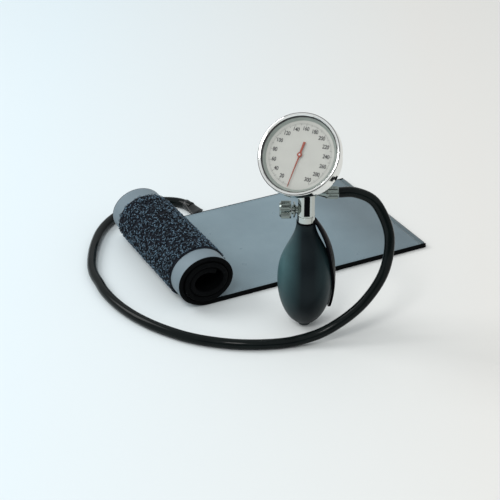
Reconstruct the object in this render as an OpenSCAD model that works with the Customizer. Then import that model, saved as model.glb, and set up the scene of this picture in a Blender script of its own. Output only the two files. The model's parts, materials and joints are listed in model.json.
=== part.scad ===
// Aneroid sphygmomanometer held in one hand: a tilted round gauge on a chrome valve block, a rubber
// bulb with a spoon-shaped hand lever under it, one hose, and a wrap cuff whose left end is rolled up.
// Millimetres. The origin is where the bulb's foot stands, +Z runs up the handle, -Y faces the reader.

/* [Gauge] */
// Outer diameter of the bezel ring
gauge_d = 62.5; // [56:0.5:75]
// Depth of the gauge from its back to the front of the bezel
gauge_depth = 26; // [25:0.5:31]
// Depth of the bezel's side band
band_depth = 8; // [7:0.25:10]
// Diameter of the rear shell
rear_d = 54; // [50:0.5:54.5]
// Wall thickness of the case
case_wall = 1.2; // [1:0.1:1.5]
// Width of the bezel's front lip
lip_w = 2.5; // [2:0.1:3.5]
// Thickness of the lens
lens_t = 1.2; // [1:0.1:1.5]
// Height of the gauge's back centre above the foot
gauge_z = 139; // [137:0.5:150]
// Angle of the dial's normal above level
gauge_lift = 39; // [30:1:50]
// Turn of the gauge to the reader's left
gauge_turn = 24; // [0:1:30]
// Turn of the dial about its own normal
gauge_roll = 11; // [0:1:20]

/* [Movement] */
// Angle of the pointer at zero pressure, counted from the dial's right
pointer_zero = 252; // [245:1:260]
// Length of the pointer from its pivot to its tip
pointer_l = 25; // [20:0.5:25.5]
// Length of the pointer's tail
pointer_tail = 10; // [6:0.5:12]
// Module of the sector and pinion teeth
gear_m = 0.25; // [0.24:0.01:0.26]
// Teeth on the pinion
pinion_teeth = 14; // [14:1:14]
// Teeth that the sector would have as a full wheel
sector_teeth = 112; // [112:14:112]
// Backlash along the pitch circle, shared by both gears
backlash = 0.05; // [0.04:0.01:0.08]
// Radius of the pressure capsule
capsule_r = 17.5; // [14:0.5:18]

/* [Valve block] */
// Width of the square column
column_w = 12.4; // [11.5:0.1:15]
// Chamfer on the column's edges
column_chamfer = 2.4; // [1.5:0.1:3]
// Height of the column's lower end above the foot
column_z = 95.6; // [94:0.1:97]
// Height of the release valve's axis above the column's lower end
valve_h = 3; // [3:0.1:3.6]
// Diameter of the release valve's knob over its knurl
knob_d = 13.4; // [11:0.1:16.2]
// Length of the release valve's knob
knob_l = 8.7; // [7:0.1:10.5]
// Height of the hose outlet's axis above the foot
outlet_z = 113; // [113:1:113]
// Diameter of the hose nut over its knurl
nut_d = 9.4; // [8.6:0.1:12]

/* [Bulb and lever] */
// Largest diameter of the bulb
bulb_d = 42.2; // [35:0.2:51]
// Height of the bulb's widest level
bulb_mid_z = 39.5; // [36:0.5:43]
// Height of the bulb's upper end
bulb_top_z = 88.2; // [87:0.1:88.4]
// Wall thickness of the bulb
bulb_wall = 2.6; // [1.8:0.1:3.2]
// Thickness of the hand lever
lever_t = 1.8; // [1.5:0.1:2.6]
// Angle that the lever's blade spans around the bulb
lever_span = 62; // [40:1:70]
// Height of the lever's tip above the foot
lever_tip_z = 14; // [12:0.5:30]
// Direction of the lever around the handle
lever_dir = 5; // [0:1:40]

/* [Hose] */
// Outer diameter of the hose
hose_d = 8; // [7:0.1:8.1]

/* [Cuff] */
// Width of the cuff
cuff_w = 138; // [115:1:160]
// Length of the flat tail, from its end to the roll's lowest line
tail_l = 202.2; // [198:0.1:240]
// Thickness of the cuff without its patches
cuff_t = 3.8; // [3.1:0.1:4.2]
// Thickness of each fabric
fabric_t = 0.8; // [0.5:0.1:1]
// Spare width between the turns of the roll
turn_gap = 0.7; // [0.5:0.1:1.2]
// Turns in the roll
roll_turns = 2.6; // [1.6:0.05:2.6]
// Half the roll's width along the first turn's middle
roll_a = 23.2; // [22:0.1:28]
// Half the roll's height along the first turn's middle
roll_b = 20.2; // [19:0.1:24]
// Thickness of the loop pile
pile_t = 1.2; // [0.8:0.1:1.5]
// Width of the plain borders beside the pile
border_w = 16; // [8:0.5:20]

/* [Hidden] */
$fn = 64;
run_gap = 0.05;   // radial clearance of shafts and pins that turn
fit_gap = 0.05;   // clearance of pieces that seat in each other
chrome = [0.83, 0.84, 0.85];
rubber_black = [0.1, 0.11, 0.13];
brass_yellow = [0.78, 0.64, 0.35];
steel_grey = [0.6, 0.61, 0.63];
cuff_blue = [0.42, 0.52, 0.57];

// --- gauge levels, counted along the dial's normal from the gauge's back ---
gauge_x = 1;
gauge_y = -3;
case_r = gauge_d / 2;
rear_r = rear_d / 2;
rear_round = 4;
back_wall = 1.6;
bezel_wall = 1.25;
rim_r = case_r - bezel_wall - 0.1;
rim_wall = 1.3;
lip_t = 0.75;
lens_top = gauge_depth - lip_t - fit_gap;
lens_z = lens_top - lens_t;
gasket_t = 0.6;
rim_top = lens_z - gasket_t;
dial_t = 0.55;
spacer_h = 1.5;
dial_top = rim_top - spacer_h - fit_gap;
ledge_z = dial_top - dial_t;
band_z = gauge_depth - band_depth;
dial_r = rim_r - rim_wall - 0.2;
stem_r = 3;
stem_l = 5;
stem_bore_r = 0.9;
stem_flange_r = 6.5;
stem_flange_t = 1.6;
passage_r = 1.4;

// --- movement ---
capsule_skin = 0.4;
capsule_rim_h = 1.7;
capsule_z = back_wall + stem_flange_t;
capsule_top_z = capsule_z + 2 * (capsule_rim_h + capsule_skin) + fit_gap;
rear_plate_z = 12.4;
plate_t = 1;
plates_gap = 4.2;
front_plate_z = rear_plate_z + plate_t + plates_gap;
end_play = 0.2;   // how far the arbors' shoulders stay from the plates
post_ring_r = 20;
post_r = 1.6;
pillar_ring_r = 17.5;
pillar_r = 1.3;
screw_r = 0.6;
screw_head_r = 1.15;
screw_head_t = 0.5;
pressure_angle = 25;
pinion_r = gear_m * pinion_teeth / 2;
sector_r = gear_m * sector_teeth / 2;
gear_gap = 0.03;
gear_z = rear_plate_z + 2;
gear_t = 0.8;
sector_dir = 196.53;
sector_pos = (pinion_r + sector_r + gear_gap) * [cos(sector_dir), sin(sector_dir)];
sector_swing = 40.125;
pivot_r = 0.5;
arbor_r = 0.7;
tail_arm = 3;
shaft_r = 0.7;
shaft_y = -3.46;
shaft_z = 10.3;
rocker_x = sector_pos[0] - tail_arm - 0.2;
rocker_h = 5.7;
rocker_t = 0.8;
pointer_z = dial_top + 0.7;
pointer_t = 0.3;
pin_top = shaft_z - 0.4;

// --- handle ---
block_top = gauge_z + 25;
valve_z = column_z + valve_h;
valve_seat_x = 3.4;
valve_hole_r = 1.1;
needle_r = 1.9;
gland_neck_r = valve_h - fit_gap;
gland_neck_l = 1.8;
gland_flange_r = 6.1;
gland_flange_t = 0.8;
gland_hub_r = 3.6;
gland_l = 4.7;
valve_thread_r = gland_neck_r - fit_gap;
seal_r = 2.5;
seal_w = 1.1;
seal_x = column_w / 2 + 1.4;
knob_x = column_w / 2 + gland_l + 0.4;
knob_flange_t = 1.2;
knob_end_t = 1.2;
knurl_depth = 0.5;
nipple_thread_r = 3.35;
nipple_cone_x = column_w / 2 + 2.4;
nipple_disc_x = 14.6;
nipple_stem_r = 2.2;
nipple_end_x = 24;
spigot_r = 4.45;
spigot_l = 4.8;
ferrule_r = 6.75;
ferrule_h = 6;
ferrule_z = column_z - ferrule_h;
barb_r = 5;
barb_l = 9.6;
barb_z = ferrule_z - barb_l;
barb_bore_r = 3.2;
lever_ring_z = bulb_top_z + 0.2;
lever_ring_t = ferrule_z - 0.2 - lever_ring_z;
lever_ring_r = 7.2;
lever_gap = 0.4;
// The lever bows out from its ring as this power of the height
lever_bow = 2.5;
// Below the bulb's middle the lever comes in by this much times the depth squared
lever_taper = 0.0055;
bulb_neck_r = 7.2;
bulb_low_r = 38.8;
bulb_foot_z = 2.2;
foot_r = 5;
inlet_spigot_r = 3.6;
inlet_top_z = 12.6;
ball_r = 1.5;

// --- hose route: the points that its middle passes, from the outlet to the cuff ---
hose_route = [[24, 0, 113], [36, 0, 113], [49, -2, 108], [57, -5, 97], [62, -9, 83], [62, -13, 69],
    [59, -16, 55], [53, -19, 43], [44, -22, 31], [34, -25, 22], [22, -28, 14], [10, -31, 8.5], [-4, -34, 5.2],
    [-18, -37, 4.1], [-37, -39, 4.1], [-56, -38, 4.1], [-74, -34, 4.1], [-88, -29, 4.1],
    [-101, -22, 4.1], [-113, -14, 4.1], [-124, -5, 4.1], [-134, 5, 4.1], [-143, 16, 4.1], [-151, 28, 4.1],
    [-158, 41, 4.1], [-163, 54, 4.1], [-168, 67, 4.1], [-171, 81, 4.1], [-172, 96, 4.1], [-172, 110, 4.1],
    [-171, 124, 4.1], [-169, 138, 4.1], [-165, 152, 4.1], [-159, 165, 4.1], [-151, 177, 4.1],
    [-141, 187, 4.1], [-129, 194, 4.1], [-115, 196, 4.1], [-103, 193, 4.3], [-93, 185, 4.6]];
hose_sides = 12;

// --- cuff: its far right corner stays where it is when the width changes ---
far_corner = [41.3, 242.4];
cuff_dir = 27.5;
core = cuff_t / 2 - fabric_t;   // half of what lies between the two fabrics
turn_pitch = cuff_t + turn_gap;
roll_x = -tail_l;
roll_z = roll_b + cuff_t / 2;
roll_step = 6;
roll_end = round(roll_turns * 360 / roll_step) * roll_step;
binding_w = 3;
hem_w = 4;
hem_turn = 12;
pile_from = 24;
pile_to = 324;
hook_t = 1;
hook_span = 72;
bladder_from = -40;
bladder_to = 60;
bladder_edge = 8;
port_dir = -43;
port_r = 4.6;
port_l = 8.5;
port_tab_w = 7;
port_tab_l = 12.4;   // reaches the bladder past the cuff's far edge
port_slot_l = 22;

// ---------- shared shapes ----------

// Places a child in the gauge: its X and Y lie in the dial, its Z is the dial's normal
module in_gauge() {
    translate([gauge_x, gauge_y, gauge_z]) rotate([0, 0, -gauge_turn]) rotate([90 - gauge_lift, 0, 0])
        rotate([0, 0, gauge_roll]) children();
}

// Places a child in the cuff: X runs from the roll to the tail's end, Y from the near edge to the far one
module in_cuff() {
    translate(far_corner) rotate([0, 0, cuff_dir]) translate([0, -cuff_w, 0]) children();
}

// Three copies round the gauge's middle
module three_round(ring_r) {
    for (turn = [90, 210, 330]) rotate([0, 0, turn]) translate([ring_r, 0, 0]) children();
}

// A ring with a round hole through it
module ring(outer_r, inner_r, from_z, to_z) {
    difference() {
        translate([0, 0, from_z]) cylinder(r = outer_r, h = to_z - from_z);
        translate([0, 0, from_z - 1]) cylinder(r = inner_r, h = to_z - from_z + 2);
    }
}

// A disc with straight knurling round its edge
module knurled(outer_r, depth, ridges, height) {
    steps = ridges * 2;
    linear_extrude(height) polygon([for (i = [0:steps - 1])
        (i % 2 == 0 ? outer_r : outer_r - depth) * [cos(i * 360 / steps), sin(i * 360 / steps)]]);
}

// A slotted screw: its head stands on z = 0 and its shank points down
module screw(shank_r, shank_l, head_r, head_t) {
    translate([0, 0, -shank_l]) cylinder(r = shank_r, h = shank_l, $fn = 24);
    difference() {
        cylinder(r = head_r, h = head_t, $fn = 32);
        translate([-head_r - 1, -0.2, head_t - 0.25]) cube([2 * head_r + 2, 0.4, 1]);
    }
}

// ---------- gauge ----------

module gauge_case() {
    inner_r = rear_r - case_wall;
    seat_r = rim_r - rim_wall;
    color(chrome) in_gauge() difference() {
        rotate_extrude($fn = 96) polygon(concat(
            [[0, 0]],
            [for (a = [-90:15:0]) [rear_r, rear_round] + rear_round * [cos(a) - 1, sin(a)]],
            [[rear_r, band_z - 0.2], [rim_r, band_z + 0.6], [rim_r, rim_top], [seat_r, rim_top],
                [seat_r, ledge_z], [inner_r, ledge_z]],
            [for (a = [0:-15:-90]) [inner_r, rear_round + back_wall] + rear_round * [cos(a) - 1, sin(a)]],
            [[0, back_wall]]));
        translate([0, 0, -1]) cylinder(r = stem_r + run_gap, h = back_wall + 2);
        three_round(post_ring_r) translate([0, 0, -1])
            cylinder(r = screw_r + 2 * fit_gap, h = back_wall + 2, $fn = 24);
    }
}

module bezel_ring() {
    lip_r = case_r - lip_w;
    round_r = 1.3;
    color(chrome) in_gauge() rotate_extrude($fn = 96) polygon(concat(
        [[case_r - bezel_wall, band_z], [case_r - 0.5, band_z], [case_r, band_z + 0.5]],
        [for (a = [0:15:90]) [case_r, gauge_depth] + round_r * [cos(a) - 1, sin(a) - 1]],
        [[lip_r + 0.5, gauge_depth - 0.15], [lip_r, gauge_depth - lip_t],
            [case_r - bezel_wall, gauge_depth - lip_t]]));
}

module dial_lens() {
    color([0.85, 0.9, 0.9, 0.3]) in_gauge() translate([0, 0, lens_z])
        cylinder(r = case_r - bezel_wall - 2 * fit_gap, h = lens_t, $fn = 96);
}

module lens_gasket() {
    color(rubber_black) in_gauge() ring(rim_r, rim_r - rim_wall - 0.6, rim_top, lens_z, $fn = 96);
}

module dial_spacer() {
    outer_r = dial_r + 0.1;
    color([0.55, 0.6, 0.56]) in_gauge() rotate_extrude($fn = 96) polygon([
        [outer_r - 2.6, dial_top], [outer_r, dial_top], [outer_r, dial_top + spacer_h],
        [outer_r - 0.7, dial_top + spacer_h]]);
}

module dial_plate() {
    color([0.84, 0.83, 0.78]) in_gauge() ring(dial_r, arbor_r + 0.5, ledge_z, dial_top, $fn = 96);
}

module gauge_stem() {
    bore_l = stem_l + back_wall + stem_flange_t + 2;
    color(brass_yellow) in_gauge() difference() {
        union() {
            translate([0, 0, -stem_l]) cylinder(r = stem_r, h = stem_l + back_wall);
            translate([0, 0, back_wall]) cylinder(r = stem_flange_r, h = stem_flange_t);
        }
        translate([0, 0, -stem_l - 1]) cylinder(r = stem_bore_r, h = bore_l, $fn = 32);
    }
}

// Section of one half of the pressure capsule: a ribbed disc whose rim stands above its middle
function capsule_wave(inner_r) =
    let (ribs = 6, first_r = 5, rib_h = 0.6, rim_w = 2.2,
        step = (capsule_r - rim_w - first_r) / ribs,
        line = concat([[inner_r, 0]], [for (i = [0:ribs - 1]) [first_r + i * step, i % 2 * rib_h]],
            [[capsule_r - rim_w, capsule_rim_h], [capsule_r, capsule_rim_h]]))
    concat(line, [for (i = [len(line) - 1:-1:0]) line[i] + [0, capsule_skin]]);

module capsule_lower() {
    color(brass_yellow) in_gauge() translate([0, 0, capsule_z]) rotate_extrude()
        polygon(capsule_wave(stem_bore_r));
}

module capsule_upper() {
    color(brass_yellow) in_gauge() translate([0, 0, capsule_top_z]) mirror([0, 0, 1]) rotate_extrude()
        polygon(capsule_wave(0));
}

module push_pin() {
    pin_r = 0.7;
    tip_l = 0.6;
    color(steel_grey) in_gauge() {
        translate([0, 0, capsule_top_z]) cylinder(r = 2, h = 0.5);
        translate([0, 0, capsule_top_z]) cylinder(r = pin_r, h = pin_top - tip_l - capsule_top_z, $fn = 32);
        translate([0, 0, pin_top - tip_l]) cylinder(r1 = pin_r, r2 = 0.3, h = tip_l, $fn = 32);
    }
}

module movement_posts() {
    color(brass_yellow) in_gauge() three_round(post_ring_r) difference() {
        translate([0, 0, back_wall]) cylinder(r = post_r, h = rear_plate_z - back_wall, $fn = 32);
        translate([0, 0, back_wall - 1]) cylinder(r = screw_r + run_gap, h = rear_plate_z, $fn = 24);
    }
}

module case_screws() {
    color(steel_grey) in_gauge() three_round(post_ring_r) mirror([0, 0, 1]) screw(screw_r, 5, 1.9, 0.7);
}

module movement_rear_plate() {
    lug_w = 1.3;
    lug_half = 1.4;
    lug_places = [-15.4, 2.6];
    arm_window = [2.9, 3.3];
    air_hole_r = 2.5;
    color(brass_yellow) in_gauge() difference() {
        union() {
            translate([0, 0, rear_plate_z]) cylinder(r = post_ring_r + post_r, h = plate_t);
            for (x = lug_places) translate([x, shaft_y - lug_half, shaft_z - lug_half])
                cube([lug_w, 2 * lug_half, rear_plate_z - shaft_z + lug_half + 0.2]);
        }
        translate([-25, shaft_y, shaft_z]) rotate([0, 90, 0])
            cylinder(r = shaft_r + run_gap, h = 50, $fn = 32);
        translate([0, 0, rear_plate_z - 1]) cylinder(r = pivot_r + run_gap, h = plate_t + 2, $fn = 24);
        translate([sector_pos[0], sector_pos[1], rear_plate_z - 1])
            cylinder(r = pivot_r + run_gap, h = plate_t + 2, $fn = 24);
        translate([rocker_x - 1.4, shaft_y - 2.4, rear_plate_z - 0.1])
            cube([arm_window[0], arm_window[1], plate_t + 0.2]);
        three_round(post_ring_r) translate([0, 0, rear_plate_z - 1])
            cylinder(r = screw_r + run_gap, h = plate_t + 2, $fn = 24);
        three_round(14) translate([0, 0, rear_plate_z - 1])
            cylinder(r = air_hole_r, h = plate_t + 2, $fn = 32);
    }
}

module movement_pillars() {
    color(brass_yellow) in_gauge() three_round(pillar_ring_r)
        ring(pillar_r, screw_r + run_gap, rear_plate_z + plate_t, front_plate_z, $fn = 32);
}

module movement_front_plate() {
    stud_x = 7;
    window_r = 4;
    color(brass_yellow) in_gauge() difference() {
        union() {
            translate([0, 0, front_plate_z]) cylinder(r = pillar_ring_r + 2, h = plate_t);
            translate([stud_x, 0, front_plate_z - 1.8]) cylinder(r = 0.4, h = 2, $fn = 24);
        }
        translate([0, 0, front_plate_z - 1]) cylinder(r = arbor_r + run_gap, h = plate_t + 2, $fn = 32);
        translate([sector_pos[0], sector_pos[1], front_plate_z - 1])
            cylinder(r = pivot_r + run_gap, h = plate_t + 2, $fn = 24);
        three_round(pillar_ring_r) translate([0, 0, front_plate_z - 1])
            cylinder(r = screw_r + run_gap, h = plate_t + 2, $fn = 24);
        rotate([0, 0, 60]) three_round(10.5) translate([0, 0, front_plate_z - 1])
            cylinder(r = window_r, h = plate_t + 2, $fn = 32);
    }
}

module movement_screws() {
    color(steel_grey) in_gauge() {
        three_round(pillar_ring_r) translate([0, 0, front_plate_z + plate_t])
            screw(screw_r, 4, screw_head_r, screw_head_t);
        three_round(post_ring_r) translate([0, 0, rear_plate_z + plate_t])
            screw(screw_r, 4, screw_head_r, screw_head_t);
    }
}

// Turned by the push pin, it swings the sector's tail
module rocking_shaft() {
    arm_t = 0.6;
    shaft_from = rocker_x - 1.2;
    color(steel_grey) in_gauge() {
        translate([shaft_from, shaft_y, shaft_z]) rotate([0, 90, 0])
            cylinder(r = shaft_r, h = 4.6 - shaft_from, $fn = 32);
        translate([-0.6, shaft_y, shaft_z - arm_t / 2]) cube([1.2, 0.9 - shaft_y, arm_t]);
        translate([rocker_x - 0.8, shaft_y - rocker_t / 2, shaft_z]) cube([1.7, rocker_t, rocker_h]);
    }
}

// Involute tooth flank: the angle from the tooth's middle at radius r, for a base radius and half-thickness
function involute(a) = tan(a) * 180 / PI - a;
function flank(r, pitch_r, half_deg) = half_deg + involute(pressure_angle)
    - involute(acos(min(1, pitch_r * cos(pressure_angle) / r)));
function tooth(pitch_r, teeth, middle, root_r, tip_r) =
    let (half_deg = 90 / teeth - backlash / 2 / pitch_r * 180 / PI / 2,
        start_r = max(root_r, pitch_r * cos(pressure_angle)),
        levels = concat([[root_r, start_r]],
            [for (k = [0:4]) let (r = start_r + (tip_r - start_r) * k / 4) [r, r]]),
        turns = [for (level = levels) flank(level[1], pitch_r, half_deg)],
        last = len(levels) - 1)
    concat(
        [for (k = [0:last]) levels[k][0] * [cos(middle - turns[k]), sin(middle - turns[k])]],
        [for (k = [last:-1:0]) levels[k][0] * [cos(middle + turns[k]), sin(middle + turns[k])]]);

module sector_gear() {
    pitch_deg = 360 / sector_teeth;
    root_r = sector_r - 1.2 * gear_m;
    tip_r = sector_r + 0.9 * gear_m;
    mesh_dir = sector_dir - 180;
    first = -ceil((sector_swing + 6) / pitch_deg);
    last = 2;
    web_r = 7;
    color(brass_yellow) in_gauge() translate([sector_pos[0], sector_pos[1], 0]) {
        translate([0, 0, gear_z]) linear_extrude(gear_t) {
            polygon(concat([[0, 0]], [for (i = [first:last]) each
                tooth(sector_r, sector_teeth, mesh_dir + i * pitch_deg, root_r, tip_r)]));
        }
        translate([0, 0, gear_z]) rotate([0, 0, 180]) translate([0, -0.5, 0]) cube([tail_arm, 1, gear_t]);
        translate([-tail_arm, 0, gear_z]) cylinder(r = 0.5, h = gear_t + 1.2, $fn = 24);
        translate([0, 0, gear_z - 0.4]) cylinder(r = 1.6, h = gear_t + 0.8, $fn = 32);
        translate([0, 0, rear_plate_z + plate_t + end_play])
            cylinder(r = 1, h = plates_gap - 2 * end_play, $fn = 32);
        translate([0, 0, rear_plate_z + end_play])
            cylinder(r = pivot_r, h = plates_gap + 2 * (plate_t - end_play), $fn = 32);
    }
}

module pinion_arbor() {
    root_r = pinion_r - 1.2 * gear_m;
    tip_r = pinion_r + 0.9 * gear_m;
    pitch_deg = 360 / pinion_teeth;
    mesh_dir = sector_dir + pitch_deg / 2;
    collet_z = gear_z + gear_t + 1;
    arbor_from = rear_plate_z + plate_t + end_play;
    color(steel_grey) in_gauge() {
        translate([0, 0, gear_z - 0.4]) linear_extrude(gear_t + 0.8)
            polygon([for (i = [0:pinion_teeth - 1]) each
                tooth(pinion_r, pinion_teeth, mesh_dir + i * pitch_deg, root_r, tip_r)]);
        translate([0, 0, arbor_from]) cylinder(r = arbor_r, h = pointer_z + 0.8 - arbor_from, $fn = 32);
        translate([0, 0, rear_plate_z + end_play]) cylinder(r = pivot_r, h = 2, $fn = 32);
        translate([0, 0, collet_z]) cylinder(r = 1.3, h = 0.9, $fn = 32);
    }
}

// Flat spiral spring from the arbor's collet to the stud on the front plate
module hairspring() {
    turns = 4;
    inner_r = 1.6;
    outer_r = 6.4;
    wire = 0.12;
    step_deg = 15;
    steps = turns * 360 / step_deg;
    line = [for (i = [0:steps]) let (a = i * step_deg, r = inner_r + (outer_r - inner_r) * i / steps)
        [r * [cos(a), sin(a)], (r + wire) * [cos(a), sin(a)]]];
    color(steel_grey) in_gauge() translate([0, 0, gear_z + gear_t + 1.1]) linear_extrude(0.6)
        polygon(concat([for (pair = line) pair[0]], [for (i = [steps:-1:0]) line[i][1]]));
}

module pointer() {
    side = [[-pointer_tail, 0.9], [0, 0.75], [3, 0.5], [pointer_l, 0.2]];
    color([0.7, 0.25, 0.17]) in_gauge() translate([0, 0, pointer_z]) rotate([0, 0, pointer_zero])
        difference() {
            union() {
                linear_extrude(pointer_t) polygon(concat([for (p = side) [p[0], -p[1]]],
                    [for (i = [len(side) - 1:-1:0]) side[i]]));
                cylinder(r = 1.9, h = pointer_t + 0.2, $fn = 48);
                cylinder(r = 1.2, h = 0.7, $fn = 48);
            }
            translate([0, 0, -1]) cylinder(r = arbor_r, h = 3, $fn = 32);
        }
}

// ---------- valve block ----------

module column_outline() {
    w = column_w / 2;
    c = w - column_chamfer;
    polygon([[w, c], [c, w], [-c, w], [-w, c], [-w, -c], [-c, -w], [c, -w], [w, -c]]);
}

// The column stands on the bulb's ferrule and is cut off slantwise where the gauge's back rests on it
module valve_block() {
    side = 120;
    passage_top_z = gauge_z - 4;
    color(chrome) difference() {
        union() {
            translate([0, 0, column_z]) linear_extrude(block_top - column_z) column_outline();
            translate([0, 0, column_z - spigot_l]) cylinder(r = spigot_r, h = spigot_l + 1);
        }
        in_gauge() translate([-side / 2, -side / 2, 0]) cube([side, side, side]);
        in_gauge() translate([0, 0, -stem_l]) cylinder(r = stem_r + run_gap, h = stem_l + 1);
        translate([0, 0, column_z - spigot_l - 1])
            cylinder(r = passage_r, h = passage_top_z - column_z + spigot_l + 1, $fn = 32);
        translate([0, 0, valve_z]) rotate([0, -90, 0]) {
            cylinder(r = valve_hole_r, h = column_w, $fn = 32);
            translate([0, 0, valve_seat_x]) cylinder(r = valve_thread_r + fit_gap, h = column_w, $fn = 48);
        }
        translate([0, 0, outlet_z]) rotate([0, 90, 0]) {
            cylinder(r = valve_hole_r, h = column_w, $fn = 32);
            translate([0, 0, valve_seat_x - 0.2])
                cylinder(r = nipple_thread_r + fit_gap, h = column_w, $fn = 48);
        }
    }
}

module valve_gland() {
    face_x = column_w / 2;
    color(chrome) translate([0, 0, valve_z]) rotate([0, -90, 0]) difference() {
        union() {
            translate([0, 0, valve_seat_x + 0.1]) cylinder(r = valve_thread_r, h = face_x - valve_seat_x);
            translate([0, 0, face_x]) cylinder(r = gland_neck_r, h = gland_neck_l);
            translate([0, 0, face_x + gland_neck_l]) {
                cylinder(r1 = gland_flange_r - 1.7, r2 = gland_flange_r, h = gland_flange_t);
                translate([0, 0, gland_flange_t]) cylinder(r = gland_flange_r, h = gland_flange_t);
                cylinder(r = gland_hub_r, h = gland_l - gland_neck_l);
            }
        }
        cylinder(r = needle_r + run_gap, h = face_x + gland_l + 1);
        translate([0, 0, seal_x]) cylinder(r = seal_r + fit_gap, h = seal_w + 2 * fit_gap);
    }
}

module valve_seal() {
    color(rubber_black) translate([0, 0, valve_z]) rotate([0, -90, 0])
        ring(seal_r, needle_r + run_gap, seal_x + fit_gap, seal_x + fit_gap + seal_w);
}

module valve_needle() {
    shank_from = valve_seat_x + 1.3;
    color(steel_grey) translate([0, 0, valve_z]) rotate([0, -90, 0]) {
        translate([0, 0, shank_from]) cylinder(r = needle_r, h = knob_x + knob_l - 2 - shank_from);
        translate([0, 0, shank_from - 2]) cylinder(r1 = 0.4, r2 = needle_r - 0.1, h = 2);
    }
}

module valve_knob() {
    grip_l = knob_l - knob_flange_t - knob_end_t;
    end_r = knob_d / 2 - knurl_depth - 0.2;
    color(chrome) translate([0, 0, valve_z]) rotate([0, -90, 0]) translate([0, 0, knob_x]) difference() {
        union() {
            cylinder(r = knob_d / 2 + 0.1, h = knob_flange_t);
            translate([0, 0, knob_flange_t]) knurled(knob_d / 2, knurl_depth, 28, grip_l);
            translate([0, 0, knob_flange_t + grip_l]) cylinder(r1 = end_r, r2 = end_r - 1, h = knob_end_t);
        }
        translate([0, 0, -1]) cylinder(r = needle_r + run_gap, h = knob_l - 1);
    }
}

module hose_nipple() {
    face_x = column_w / 2;
    neck_r = 2.4;
    color(chrome) translate([0, 0, outlet_z]) rotate([0, 90, 0]) difference() {
        union() {
            translate([0, 0, valve_seat_x]) cylinder(r = nipple_thread_r, h = face_x - valve_seat_x);
            translate([0, 0, face_x]) cylinder(r = 4.4, h = 1.2, $fn = 6);
            translate([0, 0, face_x + 1.2]) cylinder(r = neck_r, h = nipple_cone_x - face_x - 1.2);
            translate([0, 0, nipple_cone_x])
                cylinder(r1 = neck_r, r2 = nut_d / 2 - 0.4, h = nipple_disc_x - nipple_cone_x);
            translate([0, 0, nipple_disc_x]) cylinder(r = nut_d / 2 + 0.1, h = 0.7);
            translate([0, 0, nipple_disc_x]) cylinder(r = nipple_stem_r, h = nipple_end_x - nipple_disc_x);
        }
        cylinder(r = 1.1, h = nipple_end_x + 1, $fn = 32);
    }
}

module hose_nut() {
    nut_l = nipple_end_x - nipple_disc_x - 0.7 - 0.5;
    color(chrome) translate([nipple_disc_x + 0.7 + 0.2, 0, outlet_z]) rotate([0, 90, 0]) difference() {
        union() {
            translate([0, 0, 0.6]) knurled(nut_d / 2, 0.4, 24, nut_l - 1.2);
            cylinder(r = nut_d / 2 - 0.3, h = nut_l);
        }
        translate([0, 0, -1]) cylinder(r = nipple_stem_r + run_gap, h = nut_l + 2);
    }
}

// ---------- bulb ----------

module bulb_ferrule() {
    color(chrome) difference() {
        union() {
            translate([0, 0, ferrule_z]) cylinder(r = ferrule_r, h = ferrule_h);
            translate([0, 0, barb_z]) cylinder(r = barb_r, h = barb_l + 1);
        }
        translate([0, 0, column_z - spigot_l - 0.2]) cylinder(r = spigot_r + fit_gap, h = spigot_l + 2);
        translate([0, 0, barb_z - 1]) cylinder(r = barb_bore_r, h = barb_l - 0.6);
        translate([0, 0, barb_z]) cylinder(r = 2, h = barb_l + ferrule_h);
        rotate_extrude() translate([ferrule_r, column_z - 1]) circle(r = 0.35, $fn = 24);
    }
}

module outlet_valve_seat() {
    color(brass_yellow) ring(barb_bore_r - fit_gap, 1, barb_z + 1, barb_z + 2.4);
}

module outlet_valve_disc() {
    color(rubber_black) translate([0, 0, barb_z + 2.45]) cylinder(r = 2.6, h = 0.6);
}

// Radius of the bulb's outside at a height: part of an ellipse below, a soft shoulder to the neck above
function bulb_r(z) = z < bulb_mid_z
    ? bulb_d / 2 * sqrt(1 - pow((bulb_mid_z - z) / bulb_low_r, 2))
    : bulb_neck_r + (bulb_d / 2 - bulb_neck_r)
        * (0.5 + 0.5 * cos(180 * pow(min(1, (z - bulb_mid_z) / (bulb_top_z - bulb_mid_z)), 1.3)));

module bulb() {
    steps = 36;
    low_z = bulb_foot_z;
    cavity_low = low_z + 4;
    cavity_top = barb_z - 2;
    neck_bore_r = barb_r + 0.03;
    color(rubber_black) rotate_extrude() polygon(concat(
        [[inlet_spigot_r + fit_gap, low_z]],
        [for (i = [0:steps]) let (z = low_z + (bulb_top_z - low_z) * i / steps) [bulb_r(z), z]],
        [[neck_bore_r, bulb_top_z], [neck_bore_r, cavity_top]],
        [for (i = [steps - 1:-1:1]) let (z = cavity_low + (cavity_top - cavity_low) * i / steps)
            [max(bulb_r(z) - bulb_wall, inlet_spigot_r + fit_gap), z]],
        [[inlet_spigot_r + fit_gap, cavity_low]]));
}

module inlet_valve() {
    throat_z = 2.8;
    seat_z = 4;
    chamber_r = ball_r + 0.4;
    plenum_r = 2.8;
    color(rubber_black) difference() {
        union() {
            cylinder(r1 = foot_r - 0.4, r2 = foot_r, h = 0.6);
            translate([0, 0, 0.6]) cylinder(r = foot_r, h = bulb_foot_z - 0.6);
            translate([0, 0, 0.6]) cylinder(r = inlet_spigot_r, h = inlet_top_z - 0.6);
        }
        three_round(2) translate([0, 0, -1]) cylinder(r = 0.7, h = throat_z, $fn = 24);
        translate([0, 0, throat_z - 1.2]) cylinder(r = plenum_r, h = 1.2, $fn = 32);
        translate([0, 0, throat_z - 0.1]) cylinder(r = 1, h = inlet_top_z, $fn = 32);
        translate([0, 0, seat_z]) cylinder(r1 = 1, r2 = chamber_r, h = 1.2);
        translate([0, 0, seat_z + 1.2]) cylinder(r = chamber_r, h = inlet_top_z - seat_z - 2.4);
    }
}

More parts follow.
